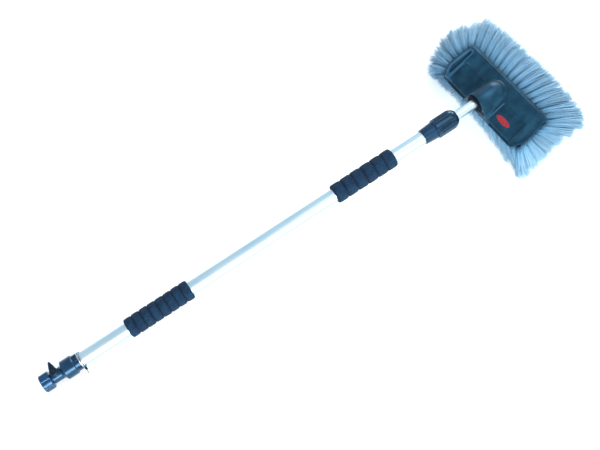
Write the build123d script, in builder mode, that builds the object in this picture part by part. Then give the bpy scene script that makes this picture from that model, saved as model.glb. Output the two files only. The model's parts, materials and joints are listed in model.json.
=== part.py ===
"""Telescopic flow-through wash brush: hose valve, two-section pole, twist lock and angled brush head.

The brush lies on the floor on its hose nut and on the near edge of its bristles. +Y runs from the hose
end to the head, +Z is up and X is across the head. The origin is under the middle of the whole brush,
on the floor. Lengths are millimetres, angles are degrees.

Stations are distances along the pole axis from the mouth of the hose nut. On the head, "along" is
measured from the edge nearest the pole towards the far edge and "out" is measured up from the deck.
"""
from build123d import *
import os
from math import atan2, cos, radians, sin

os.makedirs("parts", exist_ok=True)

# ---------------------------------------------------------------- driving dimensions
# pole
outer_tube_radius = 12.7
outer_tube_wall = 1.2
inner_tube_radius = 9.525
inner_tube_wall = 1.0
handle_length = 864.0            # from the hose nut's mouth to the head end of the outer tube
neck_to_head = 112.0             # from the outer tube's end to the inner tube's end
neck_to_deck = 88.0              # from the outer tube's end to the deck's near edge
foot_clearance = 138.0           # station of the inner tube's lower end when it is pushed home
running_gap = 0.08               # radial play of parts that turn or slide on each other
loose_gap = 0.3                  # gap between parts that never rub

# hose end
hose_thread_radius = 12.2
hose_thread_length = 10.0
hose_nut_wall = 4.8
hose_nut_length = 19.3
nut_lobes = 8
lobe_groove_radius = 3.2
washer_thickness = 2.6
flange_thickness = 2.5
tail_radius = 8.3
tail_bore_radius = 4.6
neck_radius = 11.7
neck_start = 20.3
valve_station = 30.5
ball_radius = 6.2
ball_bore_radius = 3.4
seat_thickness = 2.0
stem_radius = 2.6
hub_radius = 7.6
lever_length = 21.0
lever_thickness = 3.6
valve_head_wall = 5.7            # over the outer tube, as are the walls of collar, grips and sleeve
valve_head_start = 39.0
valve_head_length = 28.5
tube_socket_depth = 18.0
collar_wall = 3.2
collar_length = 9.5
collar_slots = 8
slot_width = 3.6
slot_depth = 1.8
ferrule_width = 5.6
ferrule_wall = 2.6
clip_wire_radius = 0.7
clip_leg_length = 14.0
clip_block_width = 4.4

# grips
grip_wall = 6.1
grip_groove_depth = 1.3
grip_length = 134.0
lower_grip_start = 179.0
upper_grip_setback = 233.5       # from the upper grip's lower end to the outer tube's end
lower_grip_rings = 8
upper_grip_rings = 6

# twist lock
sleeve_setback = 32.0            # from the sleeve's lower end to the outer tube's end
shoulder_setback = 5.0
sleeve_wall_back = 2.5
sleeve_wall_front = 4.3
lock_thread_wall = 2.7
lock_thread_length = 24.0
lock_nut_wall = 6.5
gland_wall = 2.6
gland_depth = 4.0
collet_length = 16.0
collet_wall_back = 0.9
collet_wall_front = 1.875        # over the inner tube
lock_nut_length = 49.5
lock_nut_flutes = 10
flute_radius = 3.2
flute_depth = 1.8
nose_length = 19.0

# head
head_tilt = 20.5                 # deck against the pole axis
head_width = 87.0                # along
head_length = 240.0              # across
near_corner_x = 106.0
near_corner_run = 28.0
far_corner_inset = 8.0
brim_drop = 7.0                  # the brim's top below the deck
brim_rounding = 1.0
deck_margin = 7.0                # from the brim's edge in to the deck at the near side and left end
right_slope = 17.0               # the same at the right end, where the wall slopes
far_margin = 2.5
underside_depth = 16.0
underside_inset = 5.0
plate_thickness = 5.0
plate_margin = 9.0
chamber_depth = 4.0
boss_radius = 20.0
boss_flare = 1.5
saddle_width = 56.0              # the boss spreads into the deck like a saddle
saddle_top_width = 37.0
saddle_near = 7.0
saddle_far = 76.0
saddle_rise = 9.0
socket_depth = 21.0
deck_axis_drop = 19.7            # pole axis above the deck at the near edge, square to the axis
panel_depth = 2.5
panel_near = 10.0
panel_far = 52.0
left_panel = (-91.0, -29.0)
right_panel = (33.0, 93.0)
pocket_depth = 4.0
pocket_lip = 6.0
ridge_x = 95.5                   # straight ridge between the left panel and the end pocket
ridge_width = 4.0
corner_radius = 7.0
badge_length = 36.0
badge_width = 12.0
badge_thickness = 1.2
badge_sink = 0.6
badge_x = 58.0
badge_along = 24.5
gasket_thickness = 0.8
screw_x = 92.0
screw_y = 22.0
screw_radius = 1.5
screw_length = 9.0
screw_head_radius = 2.8
screw_head_height = 1.8
jet_radius = 1.5
jet_pitch = 28.0
jet_columns = 6
drop_height = 9.0

# bristles
trim_depth = 56.0                # trimmed tips below the deck
far_reach = 58.0
left_reach = 66.0               # the left end's fan spreads wide
right_reach = 32.0               # the right end's fan hangs steeper
near_reach = 14.0
corner_trim = 24.0               # how far the fan's corners fall back from its reach
tuft_band = 9.0
tip_band = 24.0
field_rows = 4
field_row_pitch = 13.0
field_row_width = 4.0
field_lean = 6.0
field_spread = 0.5
bristle_gap = 0.6

# ---------------------------------------------------------------- sizes and stations that follow
hose_nut_radius = hose_thread_radius + hose_nut_wall
valve_head_radius = outer_tube_radius + valve_head_wall
collar_radius = outer_tube_radius + collar_wall
grip_radius = outer_tube_radius + grip_wall
sleeve_radius_back = outer_tube_radius + sleeve_wall_back
sleeve_radius_front = outer_tube_radius + sleeve_wall_front
lock_thread_radius = outer_tube_radius + lock_thread_wall
lock_nut_radius = outer_tube_radius + lock_nut_wall
upper_grip_start = handle_length - upper_grip_setback
sleeve_start = handle_length - sleeve_setback
sleeve_shoulder = handle_length - shoulder_setback
head_station = handle_length + neck_to_deck      # of the deck's near edge
inner_tube_end = handle_length + neck_to_head
inner_tube_start = foot_clearance

# ---------------------------------------------------------------- how the brush lies
tilt = radians(head_tilt)


def on_pole(along, out):
    """Station and height over the pole axis of a point on the middle of the head."""
    station = head_station + along * cos(tilt) - out * sin(tilt)
    height = -deck_axis_drop + along * sin(tilt) + out * cos(tilt)
    return station, height


near_tip_station, near_tip_height = on_pole(-near_reach, -trim_depth)
far_tip_station, far_tip_height = on_pole(head_width + far_reach, -trim_depth)
lying = atan2(-near_tip_height - hose_nut_radius, near_tip_station)
pole_direction = Vector(0, cos(lying), sin(lying))
pole_up = Vector(0, -sin(lying), cos(lying))
back_y = -hose_nut_radius * sin(lying)
front_y = far_tip_station * cos(lying) - far_tip_height * sin(lying)
pole_x = (left_reach - right_reach) / 2
pole_origin = Vector(pole_x, -(back_y + front_y) / 2, hose_nut_radius * cos(lying))

side = Plane(origin=pole_origin, x_dir=pole_direction, z_dir=(1, 0, 0))
pole_axis = Axis(pole_origin, pole_direction)


def across_pole(station):
    """Plane square to the pole at a station; its x is to the left and its y is up."""
    return Plane(origin=pole_origin + pole_direction * station, x_dir=(-1, 0, 0), z_dir=pole_direction)


def above_pole(station, height):
    """Plane over the pole, facing up; its x is to the right and its y points to the head."""
    origin = pole_origin + pole_direction * station + pole_up * height
    return Plane(origin=origin, x_dir=(1, 0, 0), z_dir=pole_up)


deck_up = Vector(0, -sin(tilt + lying), cos(tilt + lying))
deck_origin = pole_origin + pole_direction * head_station - pole_up * deck_axis_drop


def head_plane(out):
    """Plane parallel to the deck; its x is to the right and its y runs to the far edge."""
    return Plane(origin=deck_origin + deck_up * out, x_dir=(1, 0, 0), z_dir=deck_up)


def save(piece, name):
    piece.part.label = name
    export_step(piece.part, f"parts/{name}.step")


def ring(start, end, inner, outer):
    """A plain ring or tube about the pole axis."""
    with BuildPart() as piece:
        with BuildSketch(side):
            with Locations(((start + end) / 2, (inner + outer) / 2)):
                Rectangle(end - start, outer - inner)
        revolve(axis=pole_axis)
    return piece


# ---------------------------------------------------------------- hose nut, washer and tail
relief_radius = hose_thread_radius + 0.5
washer_start = hose_thread_length + 0.2
flange_start = washer_start + washer_thickness
flange_end = flange_start + flange_thickness
lip_start = flange_end + loose_gap
lip_radius = tail_radius + running_gap

groove_circle = hose_nut_radius + lobe_groove_radius * 0.55

with BuildPart() as hose_nut:
    with BuildSketch(across_pole(0)):
        Circle(hose_nut_radius)
        with PolarLocations(groove_circle, nut_lobes, start_angle=180 / nut_lobes):
            Circle(lobe_groove_radius, mode=Mode.SUBTRACT)
    extrude(amount=hose_nut_length)
    with BuildSketch(side):
        with BuildLine():
            Polyline(
                (0, 0),
                (0, hose_nut_radius - 1.0),
                (1.0, hose_nut_radius),
                (hose_nut_length - 2.0, hose_nut_radius),
                (hose_nut_length, hose_nut_radius - 2.0),
                (hose_nut_length, 0),
                close=True,
            )
        make_face()
    revolve(axis=pole_axis, mode=Mode.INTERSECT)
    with BuildSketch(side):
        with BuildLine():
            Polyline(
                (-1, 0),
                (-1, hose_thread_radius),
                (hose_thread_length, hose_thread_radius),
                (hose_thread_length, relief_radius),
                (lip_start, relief_radius),
                (lip_start, lip_radius),
                (hose_nut_length + 1, lip_radius),
                (hose_nut_length + 1, 0),
                close=True,
            )
        make_face()
    revolve(axis=pole_axis, mode=Mode.SUBTRACT)
save(hose_nut, "hose_nut")

hose_washer = ring(washer_start, flange_start, tail_bore_radius + 1.5, hose_thread_radius - 0.3)
save(hose_washer, "hose_washer")

chamber_half = ball_radius - 1.2
chamber_start = valve_station - chamber_half - seat_thickness
with BuildPart() as hose_tail:
    with BuildSketch(side):
        with BuildLine():
            Polyline(
                (flange_start, tail_bore_radius),
                (flange_start, hose_thread_radius - 0.2),
                (flange_end, hose_thread_radius - 0.2),
                (flange_end, tail_radius),
                (chamber_start, tail_radius),
                (chamber_start, tail_bore_radius),
                close=True,
            )
        make_face()
    revolve(axis=pole_axis)
save(hose_tail, "hose_tail")

strainer_start = flange_start + 0.3
with BuildPart() as strainer:
    with BuildSketch(across_pole(strainer_start)):
        Circle(tail_bore_radius)
        with GridLocations(1.8, 1.8, 4, 4):
            Rectangle(1.2, 1.2, mode=Mode.SUBTRACT)
    extrude(amount=0.8)
save(strainer, "hose_strainer")

# ---------------------------------------------------------------- valve
chamber_radius = ball_radius + 0.3
chamber_end = valve_station + chamber_half + seat_thickness
valve_head_end = valve_head_start + valve_head_length
tube_start = valve_head_end - tube_socket_depth
collar_end = valve_head_end + collar_length
stem_boss_top = neck_radius + 3.0
lever_bottom = hose_nut_radius + 0.8
seal_start = tube_start + 7.0
seal_width = 2.4
seal_depth = 1.6

with BuildPart() as valve_body:
    with BuildSketch(side):
        with BuildLine():
            Polyline(
                (collar_end, 0),
                (neck_start, 0),
                (neck_start, neck_radius - 1.0),
                (neck_start + 1.0, neck_radius),
                (valve_head_start, neck_radius),
            )
            ThreePointArc(
                (valve_head_start, neck_radius),
                (valve_head_start + 3.6, neck_radius + 2.0),
                (valve_head_start + 5.5, valve_head_radius - 1.0),
            )
            Polyline(
                (valve_head_start + 5.5, valve_head_radius - 1.0),
                (valve_head_start + 6.8, valve_head_radius),
                (valve_head_end - 1.8, valve_head_radius),
                (valve_head_end, valve_head_radius - 1.8),
                (valve_head_end, collar_radius),
                (collar_end - 0.8, collar_radius),
                (collar_end, collar_radius - 0.8),
                (collar_end, 0),
            )
        make_face()
    revolve(axis=pole_axis)
    with BuildSketch(above_pole(valve_station, 0)):
        Circle(hub_radius - 0.6)
    extrude(amount=stem_boss_top)
    with BuildSketch(side):
        with BuildLine():
            Polyline(
                (neck_start - 1, 0),
                (neck_start - 1, tail_radius),
                (chamber_start, tail_radius),
                (chamber_start, chamber_radius),
                (chamber_end, chamber_radius),
                (chamber_end, ball_bore_radius),
                (tube_start, ball_bore_radius),
                (tube_start, outer_tube_radius),
                (seal_start, outer_tube_radius),
                (seal_start, outer_tube_radius + seal_depth),
                (seal_start + seal_width, outer_tube_radius + seal_depth),
                (seal_start + seal_width, outer_tube_radius),
                (collar_end + 1, outer_tube_radius),
                (collar_end + 1, 0),
                close=True,
            )
        make_face()
    revolve(axis=pole_axis, mode=Mode.SUBTRACT)
    with BuildSketch(above_pole(valve_station, 0)):
        Circle(stem_radius + running_gap)
    extrude(amount=stem_boss_top + 1, mode=Mode.SUBTRACT)
    with BuildSketch(above_pole(valve_station, stem_boss_top - 3.0)):
        Circle(stem_radius + 1.6)
    extrude(amount=4.0, mode=Mode.SUBTRACT)
    with BuildSketch(across_pole(valve_head_end + 1.5)):
        with PolarLocations(collar_radius, collar_slots, start_angle=180 / collar_slots):
            Rectangle(2 * slot_depth, slot_width)
    extrude(amount=collar_length, mode=Mode.SUBTRACT)
save(valve_body, "valve_body")

with BuildPart() as valve_ball:
    with BuildSketch(side):
        with BuildLine():
            half = CenterArc((valve_station, 0), ball_radius, 0, 180)
            Line(half @ 0, half @ 1)
        make_face()
    revolve(axis=pole_axis)
    with BuildSketch(side.offset(-ball_radius)):
        with Locations((valve_station, 0)):
            Circle(ball_bore_radius)
    extrude(amount=2 * ball_radius, mode=Mode.SUBTRACT)
    with BuildSketch(above_pole(valve_station, ball_bore_radius + 1.0)):
        Rectangle(1.6, 2 * stem_radius)
    extrude(amount=ball_radius, mode=Mode.SUBTRACT)
save(valve_ball, "valve_ball")

for name, low, high in (
    ("valve_seat_back", chamber_start, valve_station - chamber_half + 1.2),
    ("valve_seat_front", valve_station + chamber_half - 1.2, chamber_end),
):
    with BuildPart() as seat:
        with BuildSketch(side):
            with Locations(((low + high) / 2, (ball_bore_radius + chamber_radius) / 2)):
                Rectangle(high - low, chamber_radius - ball_bore_radius)
        revolve(axis=pole_axis)
        with BuildSketch(side):
            with BuildLine():
                cup = CenterArc((valve_station, 0), ball_radius + running_gap, 0, 180)
                Line(cup @ 0, cup @ 1)
            make_face()
        revolve(axis=pole_axis, mode=Mode.SUBTRACT)
    save(seat, name)

stem_top = lever_bottom + lever_thickness - 0.6
with BuildPart() as valve_stem:
    with BuildSketch(above_pole(valve_station, ball_radius)):
        Circle(stem_radius)
    extrude(amount=stem_top - ball_radius)
    with BuildSketch(above_pole(valve_station, ball_bore_radius + 1.2)):
        Rectangle(1.5, 2 * stem_radius - 0.4)
    extrude(amount=ball_radius - ball_bore_radius)
    with BuildSketch(above_pole(valve_station, stem_top - 7.0)):
        Circle(0.9)
    extrude(amount=8.0, mode=Mode.SUBTRACT)
save(valve_stem, "valve_stem")

with BuildPart() as stem_seal:
    with BuildSketch(above_pole(valve_station, stem_boss_top - 2.9)):
        Circle(stem_radius + 1.5)
        Circle(stem_radius + running_gap, mode=Mode.SUBTRACT)
    extrude(amount=2.4)
save(stem_seal, "stem_seal")

with BuildPart() as valve_lever:
    with BuildSketch(above_pole(valve_station, stem_boss_top + loose_gap)):
        Circle(hub_radius)
    extrude(amount=lever_bottom + lever_thickness - stem_boss_top - loose_gap)
    with BuildSketch(above_pole(valve_station, lever_bottom)):
        with BuildLine():
            Polyline(
                (0, -hub_radius + 0.3),
                (-lever_length * 0.55, -4.6),
                (-lever_length, -1.6),
                (-lever_length, 1.6),
                (-lever_length * 0.55, 4.6),
                (0, hub_radius - 0.3),
                close=True,
            )
        make_face()
    extrude(amount=lever_thickness)
    top_edges = valve_lever.faces().sort_by(Axis(pole_origin, pole_up))[-1].edges()
    chamfer(top_edges, length=0.8)
    with BuildSketch(above_pole(valve_station, 0)):
        Circle(stem_radius)
    extrude(amount=stem_top, mode=Mode.SUBTRACT)
    with BuildSketch(above_pole(valve_station, 0)):
        Circle(1.3)
    extrude(amount=lever_bottom + lever_thickness + 1, mode=Mode.SUBTRACT)
save(valve_lever, "valve_lever")

with BuildPart() as lever_screw:
    with BuildSketch(above_pole(valve_station, stem_top - 6.5)):
        Circle(0.9)
    extrude(amount=6.5 + lever_bottom + lever_thickness - stem_top)
    with BuildSketch(above_pole(valve_station, lever_bottom + lever_thickness)):
        Circle(2.6)
    extrude(amount=1.6)
    screw_top = lever_screw.faces().sort_by(Axis(pole_origin, pole_up))[-1]
    fillet(screw_top.edges(), radius=0.7)
    with BuildSketch(above_pole(valve_station, lever_bottom + lever_thickness + 0.8)):
        Rectangle(0.8, 3.4)
        Rectangle(3.4, 0.8)
    extrude(amount=2, mode=Mode.SUBTRACT)
save(lever_screw, "lever_screw")

tube_seal = ring(seal_start, seal_start + seal_width, outer_tube_radius, outer_tube_radius + seal_depth)
save(tube_seal, "tube_seal")

ferrule_start = collar_end + loose_gap
ferrule_end = ferrule_start + ferrule_width
clip_station = (ferrule_start + ferrule_end) / 2
groove_half = clip_wire_radius + 0.1
groove_floor = outer_tube_radius + ferrule_wall - 2 * clip_wire_radius
with BuildPart() as tube_ferrule:
    with BuildSketch(side):
        with BuildLine():
            Polyline(
                (ferrule_start, outer_tube_radius),
                (ferrule_start, outer_tube_radius + ferrule_wall),
                (clip_station - groove_half, outer_tube_radius + ferrule_wall),
                (clip_station - groove_half, groove_floor),
                (clip_station + groove_half, groove_floor),
                (clip_station + groove_half, outer_tube_radius + ferrule_wall),
                (ferrule_end, outer_tube_radius + ferrule_wall),
                (ferrule_end, outer_tube_radius),
                close=True,
            )
        make_face()
    revolve(axis=pole_axis)
save(tube_ferrule, "tube_ferrule")

clip_radius = groove_floor + clip_wire_radius + 0.05
clip_drop = clip_radius * 0.35
clip_side = clip_radius * 0.93
block_start = outer_tube_radius + ferrule_wall + loose_gap
block_length = 4.0
with BuildPart() as spring_clip:
    with BuildSketch(side):
        with Locations((clip_station, clip_radius)):
            Circle(clip_wire_radius)
    revolve(axis=pole_axis, revolution_arc=330)
    with BuildSketch(side.offset(clip_side)):
        with Locations((clip_station, -clip_drop)):
            Circle(clip_wire_radius)
    extrude(amount=clip_leg_length)
    with BuildSketch(above_pole(clip_station, -clip_drop - clip_block_width / 2)):
        with Locations((block_start + block_length / 2, 0)):
            RectangleRounded(block_length, clip_block_width, 1.0)
    extrude(amount=clip_block_width)
save(spring_clip, "spring_clip")

# ---------------------------------------------------------------- tubes and grips
outer_tube = ring(tube_start, handle_length, outer_tube_radius - outer_tube_wall, outer_tube_radius)
save(outer_tube, "outer_tube")

inner_tube = ring(inner_tube_start, inner_tube_end, inner_tube_radius - inner_tube_wall, inner_tube_radius)
save(inner_tube, "inner_tube")


def foam_grip(start, rings):
    """Foam sleeve: a row of softly domed rings with a groove between neighbours."""
    pitch = grip_length / rings
    groove_radius = grip_radius - grip_groove_depth
    with BuildPart() as grip:
        with BuildSketch(side):
            with BuildLine():
                for index in range(rings):
                    left = start + index * pitch
                    ThreePointArc(
                        (left, groove_radius),
                        (left + pitch / 2, grip_radius),
                        (left + pitch, groove_radius),
                    )
                Polyline(
                    (start + grip_length, groove_radius),
                    (start + grip_length, outer_tube_radius),
                    (start, outer_tube_radius),
                    (start, groove_radius),
                )
            make_face()
        revolve(axis=pole_axis)
    return grip


save(foam_grip(lower_grip_start, lower_grip_rings), "foam_grip_lower")
save(foam_grip(upper_grip_start, upper_grip_rings), "foam_grip_upper")

# ---------------------------------------------------------------- piston on the inner tube
bore_radius = outer_tube_radius - outer_tube_wall
piston_length = 30.0
piston_start = inner_tube_start - piston_length
piston_groove_radius = bore_radius - 1.8
piston_bore_radius = 5.5
spigot_length = 22.0
groove_width = 3.0
groove_stations = (piston_start + 6.0, piston_start + 20.0)

with BuildPart() as piston:
    with BuildSketch(side):
        with BuildLine():
            Polyline(
                (piston_start, piston_bore_radius),
                (piston_start, bore_radius - loose_gap),
                (inner_tube_start, bore_radius - loose_gap),
                (inner_tube_start, inner_tube_radius - inner_tube_wall),
                (inner_tube_start + spigot_length, inner_tube_radius - inner_tube_wall),
                (inner_tube_start + spigot_length, piston_bore_radius),
                close=True,
            )
        make_face()
        for groove in groove_stations:
            with Locations((groove + groove_width / 2, bore_radius)):
                Rectangle(groove_width, 2 * (bore_radius - piston_groove_radius), mode=Mode.SUBTRACT)
    revolve(axis=pole_axis)
save(piston, "piston")

with BuildPart() as piston_seals:
    with BuildSketch(side):
        for groove in groove_stations:
            low = piston_groove_radius + running_gap
            high = bore_radius - running_gap
            with Locations((groove + groove_width / 2, (low + high) / 2)):
                Rectangle(groove_width - 0.4, high - low)
    revolve(axis=pole_axis)
save(piston_seals, "piston_seals")

# ---------------------------------------------------------------- twist lock
thread_end = sleeve_shoulder + lock_thread_length
gland_radius = inner_tube_radius + gland_wall
gland_start = thread_end - gland_depth
collet_start = thread_end + 0.5
collet_end = collet_start + collet_length
collet_back_radius = outer_tube_radius + collet_wall_back
collet_front_radius = inner_tube_radius + collet_wall_front
lock_nut_start = sleeve_shoulder + 1.0
lock_nut_end = lock_nut_start + lock_nut_length

with BuildPart() as lock_sleeve:
    with BuildSketch(side):
        with BuildLine():
            Polyline(
                (sleeve_start, outer_tube_radius),
                (sleeve_start, sleeve_radius_back - 0.8),
                (sleeve_start + 0.8, sleeve_radius_back),
                (sleeve_shoulder - 1.0, sleeve_radius_front),
                (sleeve_shoulder, sleeve_radius_front - 1.0),
                (sleeve_shoulder, lock_thread_radius - running_gap),
                (thread_end, lock_thread_radius - running_gap),
                (thread_end, gland_radius),
                (gland_start, gland_radius),
                (gland_start, inner_tube_radius + running_gap),
                (handle_length, inner_tube_radius + running_gap),
                (handle_length, outer_tube_radius),
                close=True,
            )
        make_face()
    revolve(axis=pole_axis)
save(lock_sleeve, "lock_sleeve")

gland_seal = ring(gland_start, thread_end - 0.4, inner_tube_radius + running_gap, gland_radius)
save(gland_seal, "gland_seal")

with BuildPart() as lock_collet:
    with BuildSketch(side):
        with BuildLine():
            Polyline(
                (collet_start, inner_tube_radius + running_gap),
                (collet_start, collet_back_radius),
                (collet_start + 3.0, collet_back_radius),
                (collet_end, collet_front_radius),
                (collet_end, inner_tube_radius + running_gap),
                close=True,
            )
        make_face()
    revolve(axis=pole_axis)
    with BuildSketch(across_pole(collet_start + 3.0)):
        with PolarLocations(collet_back_radius, 6):
            Rectangle(2 * (collet_back_radius - inner_tube_radius), 1.2)
    extrude(amount=collet_length, mode=Mode.SUBTRACT)
save(lock_collet, "lock_collet")

nose_radius = inner_tube_radius + 1.0
flute_circle = lock_nut_radius + flute_radius - flute_depth
with BuildPart() as lock_nut:
    with BuildSketch(across_pole(lock_nut_start)):
        Circle(lock_nut_radius)
        with PolarLocations(flute_circle, lock_nut_flutes, start_angle=90):
            Circle(flute_radius, mode=Mode.SUBTRACT)
    extrude(amount=lock_nut_length)
    with BuildSketch(across_pole(lock_nut_start)):
        Circle(lock_nut_radius - 0.9)
    extrude(amount=7.0)
    with BuildSketch(side):
        with BuildLine():
            Polyline(
                (lock_nut_end, 0),
                (lock_nut_start, 0),
                (lock_nut_start, lock_nut_radius - 1.6),
                (lock_nut_start + 1.6, lock_nut_radius),
                (lock_nut_end - nose_length, lock_nut_radius),
            )
            ThreePointArc(
                (lock_nut_end - nose_length, lock_nut_radius),
                (lock_nut_end - nose_length * 0.3, lock_nut_radius - 2.6),
                (lock_nut_end, lock_nut_radius - 7.2),
            )
            Line((lock_nut_end, lock_nut_radius - 7.2), (lock_nut_end, 0))
        make_face()
    revolve(axis=pole_axis, mode=Mode.INTERSECT)
    with BuildSketch(side):
        with BuildLine():
            Polyline(
                (lock_nut_start - 1, 0),
                (lock_nut_start - 1, lock_thread_radius),
                (collet_start + 3.4, lock_thread_radius),
                (collet_start + 3.4, collet_back_radius + loose_gap),
                (collet_end + 0.4, collet_front_radius + loose_gap),
                (collet_end + 0.4, nose_radius),
                (lock_nut_end + 1, nose_radius),
                (lock_nut_end + 1, 0),
                close=True,
            )
        make_face()
    revolve(axis=pole_axis, mode=Mode.SUBTRACT)
save(lock_nut, "lock_nut")

# ---------------------------------------------------------------- brush head
half_length = head_length / 2
far_corner_x = half_length - far_corner_inset
socket_end = inner_tube_end
boss_start = socket_end - socket_depth
boss_centre = head_station + 50.0
tip_bore_radius = 4.0
tip_nose_radius = inner_tube_radius - 1.6
tip_nose_length = 13.0
tip_spigot_length = 18.0
chamber_half_length = half_length - 36.0
chamber_half_width = head_width / 2 - 20.0
plate_top = -underside_depth + plate_thickness


def head_outline(near, left, right, far):
    """Corners of the head's plan, each side drawn in by its own margin."""
    sides = []
    for hand, end in ((1, right), (-1, left)):
        end_x = half_length - end
        sides.append(
            [
                (hand * (near_corner_x - end), near),
                (hand * end_x, near_corner_run),
                (hand * (end_x - far_corner_inset / 3), head_width * 0.7),
                (hand * (far_corner_x - end), head_width - far),
            ]
        )
    return sides[0] + sides[1][::-1]


def head_corners(inset):
    """The head's plan drawn in evenly."""
    return head_outline(inset, inset, inset, inset)


drop_station = socket_end + tip_nose_length + 2.0
drop_along = (drop_station - head_station) / cos(tilt)

with BuildPart() as head_block:
    # brim and tapered underside
    with BuildSketch(head_plane(-brim_drop)) as brim_top:
        Polygon(*head_corners(brim_rounding), align=None)
        fillet(brim_top.vertices(), radius=corner_radius)
    with BuildSketch(head_plane(-brim_drop - brim_rounding)) as brim_edge:
        Polygon(*head_corners(0), align=None)
        fillet(brim_edge.vertices(), radius=corner_radius)
    with BuildSketch(head_plane(-underside_depth)) as underside:
        Polygon(*head_corners(underside_inset), align=None)
        fillet(underside.vertices(), radius=corner_radius)
    loft(ruled=True)
    # deck on sloping walls
    with BuildSketch(head_plane(-brim_drop)) as wall_foot:
        Polygon(*head_outline(deck_margin / 2, deck_margin / 2, deck_margin / 2, far_margin / 2), align=None)
        fillet(wall_foot.vertices(), radius=corner_radius)
    with BuildSketch(head_plane(0)) as deck:
        Polygon(*head_outline(deck_margin, deck_margin, right_slope, far_margin), align=None)
        fillet(deck.vertices(), radius=corner_radius)
    loft()
    # a sunk panel either side of the boss
    for start_x, end_x in (left_panel, right_panel):
        with BuildSketch(head_plane(-panel_depth)):
            with Locations(((start_x + end_x) / 2, (panel_near + panel_far) / 2)):
                RectangleRounded(end_x - start_x, panel_far - panel_near, 3.0)
        extrude(amount=panel_depth, mode=Mode.SUBTRACT)
    # a pocket between the ridge and the lip of the left end
    pocket_margin = deck_margin + pocket_lip
    with BuildSketch(head_plane(-pocket_depth)):
        Polygon(*head_outline(pocket_margin, pocket_margin, right_slope, pocket_margin), align=None)
        with Locations((half_length - ridge_x - ridge_width / 2, head_width / 2)):
            Rectangle(head_length, head_width, mode=Mode.SUBTRACT)
    extrude(amount=pocket_depth, mode=Mode.SUBTRACT)
    # saddle that spreads from the boss into the deck
    saddle_centre = (saddle_near + saddle_far) / 2
    saddle_length = saddle_far - saddle_near
    saddle_narrowing = saddle_width - saddle_top_width
    with BuildSketch(head_plane(-panel_depth)):
        with Locations((0, saddle_centre)):
            RectangleRounded(saddle_width, saddle_length, saddle_width * 0.4)
    with BuildSketch(head_plane(saddle_rise)):
        with Locations((0, saddle_centre - saddle_narrowing / 2)):
            RectangleRounded(saddle_top_width, saddle_length - 1.5 * saddle_narrowing, saddle_top_width * 0.4)
    loft()
    # boss about the pole axis, sunk into the deck and closed by a dome
    with BuildSketch(side):
        with BuildLine():
            Polyline(
                (boss_centre, 0),
                (boss_start, 0),
                (boss_start, boss_radius - boss_flare - 1.5),
                (boss_start + 1.5, boss_radius - boss_flare),
                (boss_centre, boss_radius),
            )
            CenterArc((boss_centre, 0), boss_radius, 0, 90)
            Line((boss_centre + boss_radius, 0), (boss_centre, 0))
        make_face()
    revolve(axis=pole_axis)
    # nothing of the boss reaches under the block
    with BuildSketch(head_plane(-underside_depth - 3 * boss_radius)):
        with Locations((0, head_width / 2)):
            Rectangle(head_length, 2 * head_width)
    extrude(amount=3 * boss_radius, mode=Mode.SUBTRACT)
    # socket: tube seat, thread for the tip, drop hole and water chamber
    with BuildSketch(side):
        with BuildLine():
            Polyline(
                (boss_start - 1, 0),
                (boss_start - 1, inner_tube_radius),
                (socket_end, inner_tube_radius),
                (socket_end, tip_nose_radius),
                (socket_end + tip_nose_length + 1.0, tip_nose_radius),
                (socket_end + tip_nose_length + 4.0, 0),
                close=True,
            )
        make_face()
    revolve(axis=pole_axis, mode=Mode.SUBTRACT)
    with BuildSketch(head_plane(plate_top)):
        with Locations((0, head_width / 2)):
            Rectangle(2 * chamber_half_length, 2 * chamber_half_width)
    extrude(amount=chamber_depth, mode=Mode.SUBTRACT)
    with BuildSketch(head_plane(plate_top)):
        with Locations((0, drop_along)):
            Circle(tip_bore_radius)
    extrude(amount=chamber_depth + drop_height, mode=Mode.SUBTRACT)
    # seat for the plate that holds the tufts
    with BuildSketch(head_plane(-underside_depth)) as seat_outline:
        Polygon(*head_corners(plate_margin), align=None)
        fillet(seat_outline.vertices(), radius=corner_radius - 2.0)
    extrude(amount=plate_thickness, mode=Mode.SUBTRACT)
    # screw bosses are solid: only their pilot holes are cut
    with BuildSketch(head_plane(plate_top)):
        with Locations((0, head_width / 2)):
            with GridLocations(2 * screw_x, 2 * screw_y, 2, 2):
                Circle(screw_radius)
    extrude(amount=screw_length - plate_thickness + 1.0, mode=Mode.SUBTRACT)
    # badge recess
    with BuildSketch(head_plane(-panel_depth - badge_sink)):
        with Locations((badge_x, badge_along)):
            Ellipse(badge_length / 2, badge_width / 2)
    extrude(amount=panel_depth, mode=Mode.SUBTRACT)
save(head_block, "head_block")

with BuildPart() as badge:
    with BuildSketch(head_plane(-panel_depth - badge_sink)):
        with Locations((badge_x, badge_along)):
            Ellipse(badge_length / 2 - 0.1, badge_width / 2 - 0.1)
    extrude(amount=badge_thickness)
    badge_top = badge.faces().sort_by(Axis(deck_origin, deck_up))[-1]
    fillet(badge_top.edges(), radius=0.4)
save(badge, "badge")

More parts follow.
